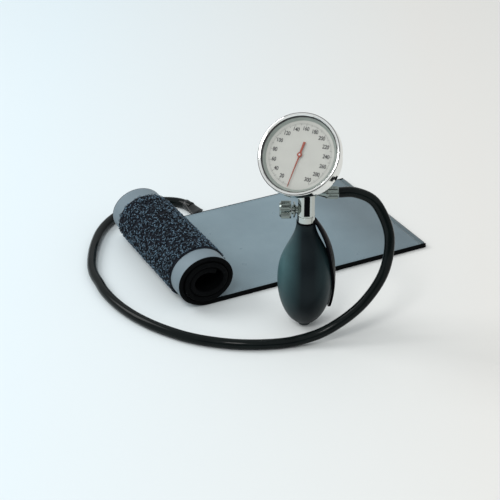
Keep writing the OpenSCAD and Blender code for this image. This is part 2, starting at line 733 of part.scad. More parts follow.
module inlet_ball() {
    rest_z = 4.6;
    color(steel_grey) translate([0, 0, rest_z + ball_r]) sphere(r = ball_r, $fn = 48);
}

// Inner radius of the hand lever at a height
function lever_r(z) = bulb_d / 2 + lever_gap - (z > bulb_mid_z
    ? (bulb_d / 2 - bulb_neck_r) * pow((z - bulb_mid_z) / (lever_ring_z - bulb_mid_z), lever_bow)
    : lever_taper * pow(bulb_mid_z - z, 2));

module hand_lever() {
    steps = 20;
    low_z = lever_tip_z;
    top_z = lever_ring_z;
    tip_round = 4.5;
    tip_mid_z = low_z + tip_round;
    blade_half_w = 12;
    full_width_z = 58;
    rise = full_width_z - tip_mid_z;
    // The blade's side leaves the round tip where it is tangent to it
    side_deg = atan2(rise, blade_half_w) - acos(tip_round / norm([blade_half_w, rise]));
    blade_side = [[0, tip_mid_z] + tip_round * [cos(side_deg), sin(side_deg)],
        [blade_half_w, full_width_z], [blade_half_w, bulb_top_z + 10]];
    levels =[for (i = [0:steps]) low_z + (top_z - low_z) * i / steps];
    color(rubber_black) {
        ring(lever_ring_r, barb_r + run_gap, lever_ring_z, lever_ring_z + lever_ring_t);
        rotate([0, 0, lever_dir]) intersection() {
            rotate([0, 0, -lever_span / 2]) rotate_extrude(angle = lever_span) polygon(concat(
                [[barb_r + run_gap, top_z]],
                [for (i = [steps:-1:0]) [lever_r(levels[i]), levels[i]]],
                [for (i = [0:steps]) [lever_r(levels[i]) + lever_t, levels[i]]],
                [[lever_r(top_z) + lever_t - 0.6, top_z + lever_ring_t],
                    [barb_r + run_gap, top_z + lever_ring_t]]));
            rotate([90, 0, 90]) linear_extrude(60) {
                translate([0, tip_mid_z]) circle(r = tip_round, $fn = 48);
                polygon(concat(blade_side, [for (i = [2:-1:0]) [-blade_side[i][0], blade_side[i][1]]]));
            }
        }
    }
}

// ---------- hose ----------

function unit(v) = v / norm(v);
function hose_way(i) = i == 0 ? [1, 0, 0]
    : i == len(hose_route) - 1 ? [cos(port_dir), sin(port_dir), 0]
    : unit(hose_route[i + 1] - hose_route[i - 1]);
// A ring of points square to the way at route point i; its first side lies level
function hose_ring(i) =
    let (way = hose_way(i),
        side = unit(cross(way, abs(way[2]) > 0.98 ? [0, 1, 0] : [0, 0, 1])),
        up = cross(side, way))
    [for (k = [0:hose_sides - 1]) let (a = (k + 0.5) * 360 / hose_sides)
        hose_route[i] + hose_d / 2 * (cos(a) * side + sin(a) * up)];

module hose() {
    rings = len(hose_route);
    sides = hose_sides;
    color(rubber_black) polyhedron(
        points = [for (i = [0:rings - 1]) each hose_ring(i)],
        faces = concat(
            [[for (k = [0:sides - 1]) k]],
            [for (i = [0:rings - 2]) for (k = [0:sides - 1])
                let (n = (k + 1) % sides, here = i * sides, next = here + sides)
                each [[here + k, next + k, next + n], [here + k, next + n, here + n]]],
            [[for (k = [sides - 1:-1:0]) (rings - 1) * sides + k]]));
}

// ---------- cuff ----------

// Middle line of the cuff's section at a turn angle round the roll, counted from the roll's lowest line
function roll_axes(turn) = [roll_a, roll_b] - turn_pitch * turn / 360 * [1, 1];
function roll_point(turn) = let (ab = roll_axes(turn))
    [roll_x - ab[0] * sin(turn), roll_z - ab[1] * cos(turn)];
function roll_way(turn) = let (ab = roll_axes(turn), shrink = turn_pitch / 2 / PI)
    unit([-ab[0] * cos(turn) + shrink * sin(turn), ab[1] * sin(turn) + shrink * cos(turn)]);
// Point at a distance off the middle line, towards the face that lies on the table
function roll_off(turn, off) = let (way = turn <= 0 ? [-1, 0] : roll_way(turn))
    roll_point(turn) + off * [-way[1], way[0]];

// Turn angles from one to another in the steps that every layer shares
function turns_between(from, to) = [for (a = [from:roll_step:to]) a];

// A layer of the cuff between two offsets, from a place on the tail to a turn angle round the roll
module cuff_layer(off_in, off_out, tail_from, turn_to, near_y, far_y, turn_from = 0) {
    angles = turns_between(turn_from, turn_to);
    on_tail = turn_from == 0 ? [tail_from] : [];
    in_cuff() translate([0, far_y, 0]) rotate([90, 0, 0]) linear_extrude(far_y - near_y) polygon(concat(
        [for (x = on_tail) [x, cuff_t / 2 - off_out]],
        [for (a = angles) roll_off(a, off_out)],
        [for (i = [len(angles) - 1:-1:0]) roll_off(angles[i], off_in)],
        [for (x = on_tail) [x, cuff_t / 2 - off_in]]));
}

module cuff_outer_fabric() {
    color(cuff_blue * 0.9) cuff_layer(core, cuff_t / 2, 0, roll_end, 0, cuff_w);
}

module cuff_inner_fabric() {
    color(cuff_blue)
        cuff_layer(-cuff_t / 2, -core, -hem_w, roll_end - hem_turn, binding_w, cuff_w - binding_w);
}

module cuff_bladder() {
    color(rubber_black)
        cuff_layer(-core, core, bladder_from, bladder_to, bladder_edge, cuff_w - bladder_edge);
}

// Fills what the bladder leaves between the two fabrics
module cuff_lining() {
    port_y = cuff_w - bladder_edge;
    color([0.3, 0.33, 0.36]) {
        cuff_layer(-core, core, 0, roll_end - hem_turn, binding_w, cuff_w - binding_w, bladder_to);
        in_cuff() translate([bladder_from, binding_w, cuff_t / 2 - core])
            cube([-hem_w - bladder_from, cuff_w - 2 * binding_w, 2 * core]);
        cuff_layer(-core, core, bladder_from, bladder_to, binding_w, bladder_edge);
        difference() {
            cuff_layer(-core, core, bladder_from, bladder_to, port_y, cuff_w - binding_w);
            port_slot();
        }
    }
}

module cuff_edge_binding() {
    color(rubber_black) {
        cuff_layer(-cuff_t / 2, core, 0, roll_end, 0, binding_w);
        difference() {
            cuff_layer(-cuff_t / 2, core, 0, roll_end, cuff_w - binding_w, cuff_w);
            port_slot();
        }
    }
}

module cuff_end_hems() {
    color(cuff_blue * 0.6) {
        in_cuff() translate([-hem_w, binding_w, fabric_t])
            cube([hem_w, cuff_w - 2 * binding_w, cuff_t - fabric_t]);
        cuff_layer(-cuff_t / 2, core, 0, roll_end, binding_w, cuff_w - binding_w, roll_end - hem_turn);
    }
}

module loop_patch() {
    color([0.1, 0.14, 0.2])
        cuff_layer(cuff_t / 2, cuff_t / 2 + pile_t, 0, pile_to, border_w, cuff_w - border_w, pile_from);
}

module hook_patch() {
    to = roll_end - hem_turn;
    color([0.12, 0.13, 0.15])
        cuff_layer(-cuff_t / 2 - hook_t, -cuff_t / 2, 0, to, border_w, cuff_w - border_w, to - hook_span);
}

// Places a child at the hose's end: X runs into the cuff
module at_port() {
    translate(hose_route[len(hose_route) - 1]) rotate([0, 0, port_dir]) children();
}

// The flat tab's space, with room beside it
module port_slot(room = 0.1) {
    at_port() translate([port_l - 1, -port_tab_w / 2 - room, fabric_t - port_r])
        cube([port_slot_l, port_tab_w + 2 * room, 2 * core]);
}

module bladder_port() {
    bead = 0.6;
    color(rubber_black) at_port() {
        rotate([0, 90, 0]) cylinder(r = port_r - bead, h = port_l, $fn = 48);
        translate([2 * bead, 0, 0]) rotate([0, 90, 0]) cylinder(r = port_r, h = port_l - 4 * bead, $fn = 48);
        translate([port_l - 2, -port_tab_w / 2, fabric_t - port_r]) cube([port_tab_l, port_tab_w, 2 * core]);
    }
}

gauge_case();
bezel_ring();
dial_lens();
lens_gasket();
dial_spacer();
dial_plate();
gauge_stem();
capsule_lower();
capsule_upper();
push_pin();
movement_posts();
movement_rear_plate();
movement_pillars();
movement_front_plate();
movement_screws();
case_screws();
rocking_shaft();
sector_gear();
pinion_arbor();
hairspring();
pointer();
valve_block();
valve_gland();
valve_seal();
valve_needle();
valve_knob();
hose_nipple();
hose_nut();
bulb_ferrule();
outlet_valve_seat();
outlet_valve_disc();
hand_lever();
bulb();
inlet_valve();
inlet_ball();
hose();
cuff_outer_fabric();
cuff_inner_fabric();
cuff_bladder();
cuff_lining();
cuff_edge_binding();
cuff_end_hems();
loop_patch();
hook_patch();
bladder_port();
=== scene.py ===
"""Looks of a one-hand aneroid sphygmomanometer: gauge, valve block, bulb, hose and a part-rolled cuff.

Metres, in the frame of the CAD model: the bulb's foot stands at the origin and +Z runs up the handle.
"""

import json
import math

import bmesh
import bpy
import numpy as np
from mathutils import Matrix, Vector


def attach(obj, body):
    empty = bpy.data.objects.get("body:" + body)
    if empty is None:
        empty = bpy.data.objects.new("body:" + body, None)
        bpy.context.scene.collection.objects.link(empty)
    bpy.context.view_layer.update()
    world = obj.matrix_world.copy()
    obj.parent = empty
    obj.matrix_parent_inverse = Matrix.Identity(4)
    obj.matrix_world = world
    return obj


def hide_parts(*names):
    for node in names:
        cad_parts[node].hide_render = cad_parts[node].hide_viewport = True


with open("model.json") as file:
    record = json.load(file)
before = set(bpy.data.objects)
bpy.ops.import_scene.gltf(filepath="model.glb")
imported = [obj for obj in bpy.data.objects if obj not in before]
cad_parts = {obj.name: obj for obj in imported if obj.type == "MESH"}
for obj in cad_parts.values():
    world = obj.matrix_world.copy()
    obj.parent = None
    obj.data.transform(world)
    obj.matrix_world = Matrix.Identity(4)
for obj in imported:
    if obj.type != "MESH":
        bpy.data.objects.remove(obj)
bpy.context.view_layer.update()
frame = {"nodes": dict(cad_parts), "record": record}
nodes = frame["nodes"]
MM = 0.001


# ---------- camera ----------

CAMERA_ELEVATION = math.radians(29)
CAMERA_DISTANCE = 1.42
CAMERA_TARGET = Vector((-0.042, 0.1155, 0))
CAMERA_LENS_MM = 122.4
SENSOR_MM = 36


def add_camera():
    """The photograph's camera, as worked out from the cuff."""
    data = bpy.data.cameras.new("camera")
    data.lens, data.sensor_width = CAMERA_LENS_MM, SENSOR_MM
    data.clip_start, data.clip_end = 0.05, 20
    camera = bpy.data.objects.new("camera", data)
    bpy.context.scene.collection.objects.link(camera)
    back = Vector((0, -math.cos(CAMERA_ELEVATION), math.sin(CAMERA_ELEVATION)))
    camera.location = CAMERA_TARGET + back * CAMERA_DISTANCE
    camera.rotation_euler = (-back).to_track_quat("-Z", "Y").to_euler()
    bpy.context.scene.camera = camera


# ---------- materials ----------

def new_material(name, colour, roughness, metallic=0.0, specular=0.5, sheen=0.0):
    """A Principled material, its node tree and its shader, with the uniform values set."""
    m = bpy.data.materials.new(name)
    m.use_nodes = True
    tree = m.node_tree
    shader = tree.nodes["Principled BSDF"]
    shader.inputs["Base Color"].default_value = (*colour, 1)
    shader.inputs["Roughness"].default_value = roughness
    shader.inputs["Metallic"].default_value = metallic
    shader.inputs["Specular IOR Level"].default_value = specular
    shader.inputs["Sheen Weight"].default_value = sheen
    return m, tree, shader


def add_node(tree, kind, **values):
    """A node of a kind, with its settings and input values."""
    node = tree.nodes.new("ShaderNode" + kind)
    for key, value in values.items():
        if key in node.inputs:
            node.inputs[key].default_value = value
        else:
            setattr(node, key, value)
    return node


def place(tree, uv=False):
    """The socket of the surface's own coordinates, in metres."""
    if uv:
        return add_node(tree, "UVMap", uv_map="UVMap").outputs["UV"]
    return add_node(tree, "TexCoord").outputs["Object"]


def split(tree, vector):
    """The X, Y and Z sockets of a vector socket."""
    node = add_node(tree, "SeparateXYZ")
    tree.links.new(vector, node.inputs["Vector"])
    return node.outputs


def noise(tree, at, size, detail=3.0, rough=0.5):
    """A noise of a grain size in metres."""
    node = add_node(tree, "TexNoise", Scale=1 / size, Detail=detail, Roughness=rough)
    tree.links.new(at, node.inputs["Vector"])
    return node.outputs["Fac"]


def between(tree, factor, low, high, spread=(0.3, 0.7)):
    """A ramp from one colour or value to another as a factor rises."""
    if isinstance(low, tuple):
        ramp = add_node(tree, "ValToRGB")
        for stop, where, colour in zip(ramp.color_ramp.elements, spread, (low, high)):
            stop.position, stop.color = where, (*colour, 1)
        tree.links.new(factor, ramp.inputs["Fac"])
        return ramp.outputs["Color"]
    span = add_node(tree, "MapRange")
    for key, value in zip(("From Min", "From Max", "To Min", "To Max"), (*spread, low, high)):
        span.inputs[key].default_value = value
    tree.links.new(factor, span.inputs["Value"])
    return span.outputs["Result"]


def combine(tree, operation, first, second):
    """A Math node of two sockets."""
    node = add_node(tree, "Math", operation=operation)
    tree.links.new(first, node.inputs[0])
    tree.links.new(second, node.inputs[1])
    return node.outputs[0]


def bump(tree, shader, height, strength, depth):
    """Raises the shader's surface by a height socket; depth is in metres."""
    node = add_node(tree, "Bump", Strength=strength, Distance=depth)
    tree.links.new(height, node.inputs["Height"])
    tree.links.new(node.outputs["Normal"], shader.inputs["Normal"])


def chrome(name, colour, smooth=0.05, worn=0.12):
    """Plated metal, smooth between faint smears."""
    m, tree, shader = new_material(name, colour, smooth, metallic=1.0)
    at = place(tree)
    smear = noise(tree, at, 9 * MM, 4)
    tree.links.new(between(tree, smear, smooth, worn, (0.45, 0.8)), shader.inputs["Roughness"])
    tint = between(tree, noise(tree, at, 20 * MM), tuple(c * 0.97 for c in colour), colour)
    tree.links.new(tint, shader.inputs["Base Color"])
    return m


def turned_metal(name, colour):
    """Brass or steel with fine turning marks."""
    m, tree, shader = new_material(name, colour, 0.3, metallic=1.0)
    at = place(tree)
    grain = noise(tree, at, 0.4 * MM, 6, 0.7)
    tree.links.new(between(tree, grain, 0.22, 0.42), shader.inputs["Roughness"])
    tint = between(tree, noise(tree, at, 5 * MM), tuple(c * 0.85 for c in colour), colour)
    tree.links.new(tint, shader.inputs["Base Color"])
    bump(tree, shader, grain, 0.15, 0.02 * MM)
    return m


def rubber_skin(tree, shader, at, roughness):
    """The fine skin that every rubber has: slow changes of gloss over a tiny grain."""
    tree.links.new(between(tree, noise(tree, at, 7 * MM, 4), *roughness), shader.inputs["Roughness"])
    bump(tree, shader, noise(tree, at, 0.35 * MM, 2), 0.12, 0.03 * MM)


def rubber(name, colour, bloom, roughness=(0.42, 0.56), specular=0.5):
    """Rubber with a faint pale bloom."""
    m, tree, shader = new_material(name, colour, roughness[0], specular=specular)
    at = place(tree)
    tone = between(tree, noise(tree, at, 16 * MM, 5, 0.6), colour, bloom, (0.35, 0.8))
    tree.links.new(tone, shader.inputs["Base Color"])
    rubber_skin(tree, shader, at, roughness)
    return m


def bulb_rubber():
    """Matt blue-black rubber, with a painted teal highlight over its left side and a little on its right,
    stronger higher up.
    """
    rubber_black, painted_highlight_teal = (0.0035, 0.005, 0.007), (0.045, 0.1, 0.108)
    m, tree, shader = new_material("bulb_rubber", rubber_black, 0.42, specular=0.22)
    shader.inputs["Specular Tint"].default_value = (0.7, 0.95, 1, 1)
    at = place(tree)
    parts = split(tree, at)
    # Painted highlight: lighter towards teal on the left, a little on the right, more so higher up.
    left = between(tree, parts["X"], 1.0, 0.0, (-17 * MM, -3 * MM))
    right = between(tree, parts["X"], 0.0, 0.3, (6 * MM, 17 * MM))
    high = between(tree, parts["Z"], 0.2, 1.0, (8 * MM, 55 * MM))
    highlight_share = combine(tree, "MULTIPLY", combine(tree, "MAXIMUM", left, right), high)
    patches = between(tree, noise(tree, at, 14 * MM, 5, 0.6), 0.8, 1.1)
    tone = between(tree, combine(tree, "MULTIPLY", highlight_share, patches), rubber_black, painted_highlight_teal, (0, 1))
    tree.links.new(tone, shader.inputs["Base Color"])
    rubber_skin(tree, shader, at, (0.38, 0.46))
    return m


def black_plastic(name, colour, roughness, specular):
    """Moulded plastic with a slightly uneven face."""
    m, tree, shader = new_material(name, colour, roughness[0], specular=specular)
    at = place(tree)
    tone = between(tree, noise(tree, at, 12 * MM), colour, tuple(c * 1.5 for c in colour))
    tree.links.new(tone, shader.inputs["Base Color"])
    tree.links.new(between(tree, noise(tree, at, 4 * MM, 5), *roughness), shader.inputs["Roughness"])
    bump(tree, shader, noise(tree, at, 1.2 * MM), 0.08, 0.02 * MM)
    return m


def paint(name, colour, roughness):
    """Sprayed paint or a printed face with a faint mottle."""
    m, tree, shader = new_material(name, colour, roughness)
    at = place(tree)
    tone = between(tree, noise(tree, at, 8 * MM, 4), tuple(c * 0.94 for c in colour), colour)
    tree.links.new(tone, shader.inputs["Base Color"])
    fine = noise(tree, at, 0.5 * MM)
    tree.links.new(between(tree, fine, roughness * 0.9, roughness * 1.15), shader.inputs["Roughness"])
    return m


def lens_glass():
    """Thin clear glass: it reflects a little head on and strongly at a slant, alike from both sides."""
    head_on, at_slant, steepness = 0.022, 0.9, 5
    m = bpy.data.materials.new("lens_glass")
    m.use_nodes = True
    tree = m.node_tree
    tree.nodes.remove(tree.nodes["Principled BSDF"])
    clear = add_node(tree, "BsdfTransparent")
    clear.inputs["Color"].default_value = (0.99, 0.99, 0.985, 1)
    shine = add_node(tree, "BsdfGlossy", Roughness=0.02)
    facing = add_node(tree, "LayerWeight", Blend=0.5)
    slant = add_node(tree, "Math", operation="POWER")
    slant.inputs[1].default_value = steepness
    tree.links.new(facing.outputs["Facing"], slant.inputs[0])
    mix = add_node(tree, "MixShader")
    tree.links.new(between(tree, slant.outputs[0], head_on, at_slant, (0, 1)), mix.inputs["Fac"])
    tree.links.new(clear.outputs["BSDF"], mix.inputs[1])
    tree.links.new(shine.outputs["BSDF"], mix.inputs[2])
    tree.links.new(mix.outputs["Shader"], tree.nodes["Material Output"].inputs["Surface"])
    return m


ONE_BAND_PER_METRE = 0.3183193  # the Wave Texture's scale at which a band is about a metre wide
WEAVE_SHARE = 0.18  # how much of a cloth's change of tone follows its weave
# Where a cloth's painted end shade is full, and where it has faded out, measured from the end.
DARK_UNTIL, PALE_FROM = 22 * MM, 60 * MM


def woven(name, low, high, thread=0.45 * MM, roughness=(0.34, 0.46), sheen=0.15, relief=0.05 * MM,
          specular=0.45, end_shade=None):
    """Cloth or tape: a plain weave that follows its length and width, with slow changes of tone."""
    m, tree, shader = new_material(name, low, roughness[0], specular=specular, sheen=sheen)
    at = place(tree, uv=True)
    waves = []
    for direction in ("X", "Y"):
        wave = add_node(tree, "TexWave", bands_direction=direction, Scale=ONE_BAND_PER_METRE / thread)
        tree.links.new(at, wave.inputs["Vector"])
        waves.append(wave.outputs["Fac"])
    weave = combine(tree, "MULTIPLY", *waves)
    blend = add_node(tree, "Math", operation="MULTIPLY_ADD")
    blend.inputs[1].default_value = WEAVE_SHARE
    tree.links.new(weave, blend.inputs[0])
    tree.links.new(noise(tree, at, 45 * MM, 5, 0.6), blend.inputs[2])
    tone = between(tree, blend.outputs[0], low, high, (0.32, 0.78))
    # Painted shade near the cloth's end, where asked for.
    if end_shade:
        tone = darken_end(tree, at, tone, end_shade)
    tree.links.new(tone, shader.inputs["Base Color"])
    tree.links.new(between(tree, noise(tree, at, 20 * MM, 4), *roughness), shader.inputs["Roughness"])
    bump(tree, shader, weave, 0.5, relief)
    return m


def darken_end(tree, at, tone, share):
    """Brings a tone down to a share of itself near the cloth's end: painted shade."""
    mix = add_node(tree, "MixRGB", blend_type="MULTIPLY")
    mix.inputs["Color2"].default_value = (share, share, share, 1)
    near_end = between(tree, split(tree, at)["X"], 1.0, 0.0, (DARK_UNTIL, PALE_FROM))
    tree.links.new(near_end, mix.inputs["Fac"])
    tree.links.new(tone, mix.inputs["Color1"])
    return mix.outputs["Color"]


def pile_thread():
    """Curly loop threads: near black below, with a painted slate-blue highlight on the tops of the paler
    loops.

    The UV map holds a point's share of its loop's height, and the loop's own paleness.
    """
    low, top = (0.002, 0.006, 0.012), (0.14, 0.235, 0.32)
    m, tree, shader = new_material("loop_thread", low, 0.5, specular=0.3)
    parts = split(tree, place(tree, uv=True))
    # Painted highlight: each loop grows paler towards its top.
    high = between(tree, parts["X"], 0.0, 1.0, (0.45, 1.0))
    lit = combine(tree, "MULTIPLY", high, parts["Y"])
    tone = between(tree, lit, low, top, (0.06, 0.75))
    tree.links.new(tone, shader.inputs["Base Color"])
    return m


# ---------- meshes ----------

def add_piece(name, points, faces, material, smooth=True, uvs=None):
    """A mesh piece that rides on the instrument. uvs holds one pair for each corner of each face."""
    mesh = bpy.data.meshes.new(name)
    mesh.from_pydata([tuple(map(float, p)) for p in points], [], faces)
    mesh.polygons.foreach_set("use_smooth", [smooth] * len(mesh.polygons))
    if uvs is not None:
        mesh.uv_layers.new(name="UVMap").data.foreach_set("uv", np.asarray(uvs, np.float32).ravel())
    mesh.materials.append(material)
    mesh.update()
    piece = bpy.data.objects.new(name, mesh)
    bpy.context.scene.collection.objects.link(piece)
    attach(piece, "instrument")
    return piece


def grid_faces(rows, columns):
    """Quads between consecutive closed rows of points."""
    return [(i * columns + k, i * columns + (k + 1) % columns,
             (i + 1) * columns + (k + 1) % columns, (i + 1) * columns + k)
            for i in range(rows - 1) for k in range(columns)]


def end_faces(rows, columns):
    """The two faces that close a tube of rows of points."""
    return [tuple(range(columns)), tuple((rows - 1) * columns + k for k in reversed(range(columns)))]


def lathe(profile, sides):
    """Points and faces of a turned shape, whose profile holds pairs of radius and height."""
    points = []
    for radius, height in profile:
        for k in range(sides):
            a = 2 * math.pi * k / sides
            points.append((radius * math.cos(a), radius * math.sin(a), height))
    return points, grid_faces(len(profile), sides)


def recalculate_normals(piece):
    """Turns every face outwards."""
    work = bmesh.new()
    work.from_mesh(piece.data)
    bmesh.ops.recalc_face_normals(work, faces=work.faces)
    work.to_mesh(piece.data)
    work.free()


# ---------- hose ----------

HOSE_D = 8 * MM
HOSE_STEPS = 6
HOSE_ROUTE_MM = [
    (24, 0, 113), (36, 0, 113), (49, -2, 108), (57, -5, 97), (62, -9, 83), (62, -13, 69),
    (59, -16, 55), (53, -19, 43), (44, -22, 31), (34, -25, 22), (22, -28, 14), (10, -31, 8.5),
    (-4, -34, 5.2), (-18, -37, 4.1), (-37, -39, 4.1), (-56, -38, 4.1), (-74, -34, 4.1),
    (-88, -29, 4.1), (-101, -22, 4.1), (-113, -14, 4.1), (-124, -5, 4.1), (-134, 5, 4.1),
    (-143, 16, 4.1), (-151, 28, 4.1), (-158, 41, 4.1), (-163, 54, 4.1), (-168, 67, 4.1),
    (-171, 81, 4.1), (-172, 96, 4.1), (-172, 110, 4.1), (-171, 124, 4.1), (-169, 138, 4.1),
    (-165, 152, 4.1), (-159, 165, 4.1), (-151, 177, 4.1), (-141, 187, 4.1), (-129, 194, 4.1),
    (-115, 196, 4.1), (-103, 193, 4.3), (-93, 185, 4.6)]


def smooth_line(points, steps):
    """Points of a curve that passes through the given points."""
    p = np.array([2 * points[0] - points[1], *points, 2 * points[-1] - points[-2]])
    line = []
    for i in range(1, len(p) - 2):
        for k in range(steps):
            t = k / steps
            line.append(0.5 * (2 * p[i] + (p[i + 1] - p[i - 1]) * t
                               + (2 * p[i - 1] - 5 * p[i] + 4 * p[i + 1] - p[i + 2]) * t ** 2
                               + (3 * p[i] - 3 * p[i + 1] + p[i + 2] - p[i - 1]) * t ** 3))
    return np.array([*line, p[-2]])


def add_hose():
    """The hose along its route, from the nipple to the bladder's neck."""
    line = smooth_line(np.array(HOSE_ROUTE_MM, float) * MM, HOSE_STEPS)
    curve = bpy.data.curves.new("hose_tube", "CURVE")
    curve.dimensions = "3D"
    curve.bevel_depth, curve.bevel_resolution, curve.use_fill_caps = HOSE_D / 2, 6, True
    spline = curve.splines.new("POLY")
    spline.points.add(len(line) - 1)
    for point, at in zip(spline.points, line):
        point.co = (*at, 1)
    spline.use_smooth = True
    curve.materials.append(rubber("hose_rubber", (0.003, 0.005, 0.005), (0.006, 0.009, 0.009),
                                  roughness=(0.08, 0.14), specular=0.11))
    hose = bpy.data.objects.new("hose_tube", curve)
    bpy.context.scene.collection.objects.link(hose)
    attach(hose, "instrument")
    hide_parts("hose")


PORT_AT = np.array(HOSE_ROUTE_MM[-1]) * MM
PORT_WAY = math.radians(-43)
PORT_FROM, PORT_TO = -7 * MM, 8 * MM
PORT_R = 4.25 * MM
PORT_FLAT_HALF_W, PORT_FLAT_HALF_T, PORT_FLAT_Z = 6.15 * MM, 1.7 * MM, 2 * MM


def add_port_sleeve():
    """The bladder's rubber neck: round where it grips the hose, flat where it goes into the cuff."""
    along = np.array((math.cos(PORT_WAY), math.sin(PORT_WAY), 0))
    side = np.array((-along[1], along[0], 0))
    steps, sides = 14, 32
    points = []
    for i in range(steps + 1):
        share = i / steps
        flat = share ** 2 * (3 - 2 * share)
        wide = PORT_R + (PORT_FLAT_HALF_W - PORT_R) * flat
        tall = PORT_R + (PORT_FLAT_HALF_T - PORT_R) * flat
        mid_z = PORT_AT[2] + (PORT_FLAT_Z - PORT_AT[2]) * flat
        centre = PORT_AT + along * (PORT_FROM + (PORT_TO - PORT_FROM) * share)
        for k in range(sides):
            a = 2 * math.pi * k / sides
            at = centre + side * wide * math.cos(a)
            points.append((at[0], at[1], mid_z + tall * math.sin(a)))
    faces = grid_faces(steps + 1, sides) + end_faces(steps + 1, sides)
    neck = rubber("port_rubber", (0.005, 0.007, 0.008), (0.012, 0.016, 0.017), roughness=(0.3, 0.4))
    sleeve = add_piece("port_sleeve", points, faces, neck)
    recalculate_normals(sleeve)
    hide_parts("bladder_port")


# ---------- gauge ----------

GAUGE_BACK = Vector((1, -3, 139)) * MM
GAUGE_LIFT, GAUGE_TURN, GAUGE_ROLL = 39, 24, 11
DIAL_TOP = 21.85 * MM
DIAL_END = 300
NUMERAL_STEP = 20
ZERO_ANGLE = 252
DEGREES_PER_UNIT = 1.07
NUMERAL_R, NUMERAL_H, NUMERAL_BOLD = 19.8 * MM, 2.9 * MM, 0.11 * MM
NUMERAL_NARROWING = 0.82
DIGIT_SHARE = 0.7  # a digit's height as a share of the font's size
TICK_R = 24 * MM
TICK_STEP = 2
INK_T = 0.03 * MM


def gauge_matrix():
    """From the gauge's own frame, where Z is the dial's normal, to the model's."""
    turn = Matrix.Rotation(math.radians(-GAUGE_TURN), 4, "Z")
    lift = Matrix.Rotation(math.radians(90 - GAUGE_LIFT), 4, "X")
    roll = Matrix.Rotation(math.radians(GAUGE_ROLL), 4, "Z")
    return Matrix.Translation(GAUGE_BACK) @ turn @ lift @ roll


def dial_angle(value):
    """The angle on the dial, from the gauge's X, at which a pressure stands."""
    return math.radians(ZERO_ANGLE - DEGREES_PER_UNIT * value)


def add_numerals(ink):
    """Plain numbers, upright to the reader, at every 20."""
    upright = Matrix.Rotation(-math.radians(GAUGE_ROLL), 4, "Z")
    narrow = Matrix.Diagonal((NUMERAL_NARROWING, 1, 1, 1))
    for value in range(NUMERAL_STEP, DIAL_END + 1, NUMERAL_STEP):
        text = bpy.data.curves.new(f"numeral_{value}", "FONT")
        text.body, text.size = str(value), NUMERAL_H / DIGIT_SHARE
        text.align_x, text.align_y = "CENTER", "CENTER"
        text.extrude, text.offset = INK_T * 2 / 3, NUMERAL_BOLD
        text.materials.append(ink)
        piece = bpy.data.objects.new(f"numeral_{value}", text)
        bpy.context.scene.collection.objects.link(piece)
        a = dial_angle(value)
        spot = Matrix.Translation((NUMERAL_R * math.cos(a), NUMERAL_R * math.sin(a), DIAL_TOP + INK_T))
        piece.matrix_world = gauge_matrix() @ spot @ upright @ narrow
        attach(piece, "instrument")


def tick_size(value):
    """The length and half width of the line at a pressure."""
    if value % 20 == 0:
        return 2.2 * MM, 0.11 * MM
    if value % 10 == 0:
        return 1.7 * MM, 0.11 * MM
    return 1.1 * MM, 0.06 * MM


def prism_faces(sides):
    """The faces between a ring of points and the next ring, with both rings closed."""
    walls = [(k, (k + 1) % sides, (k + 1) % sides + sides, k + sides) for k in range(sides)]
    return [tuple(range(sides, 2 * sides)), tuple(reversed(range(sides))), *walls]


def add_scale_ticks(ink):
    """Fine lines round the numerals: one at every 2, longer at every 10 and at every 20."""
    points, faces = [], []
    to_model_frame = gauge_matrix()
    for value in range(0, DIAL_END + 1, TICK_STEP):
        length, half = tick_size(value)
        a = dial_angle(value)
        way, side = Vector((math.cos(a), math.sin(a), 0)), Vector((-math.sin(a), math.cos(a), 0))
        first = len(points)
        for height in (0, INK_T):
            for along, across in ((0, -1), (0, 1), (length, 1), (length, -1)):
                corner = way * (TICK_R - along) + side * half * across
                points.append(to_model_frame @ (corner + Vector((0, 0, DIAL_TOP + height))))
        faces += [tuple(first + k for k in f) for f in prism_faces(4)]
    add_piece("scale_ticks", points, faces, ink, smooth=False)


GROOVE_R, GROOVE_Z, GROOVE_HALF = 30.75 * MM, 25.66 * MM, 0.26 * MM


def add_bezel_groove():
    """A dark line turned into the bezel's round edge."""
    turns = [2 * math.pi * k / 10 for k in range(11)]
    profile = [(GROOVE_R + GROOVE_HALF * math.cos(a), GROOVE_Z + GROOVE_HALF * math.sin(a)) for a in turns]
    points, faces = lathe(profile, 128)
    to_model_frame = gauge_matrix()
    points = [to_model_frame @ Vector(p) for p in points]
    # The groove's ring is coloured dark brown.
    ring = add_piece("bezel_groove", points, faces, paint("bezel_groove_dark", (0.05, 0.045, 0.04), 0.6))
    recalculate_normals(ring)


DARK_STRIP_LEFT, DARK_STRIP_RIGHT = -1.8 * MM, 2.6 * MM
DARK_STRIP_LOW, DARK_STRIP_SHOULDER, DARK_STRIP_TIP = 95.8 * MM, 118 * MM, 121 * MM
COLUMN_FACE_Y = -6.2 * MM
DARK_STRIP_PROUD, DARK_STRIP_DEPTH = 0.04 * MM, 0.3 * MM


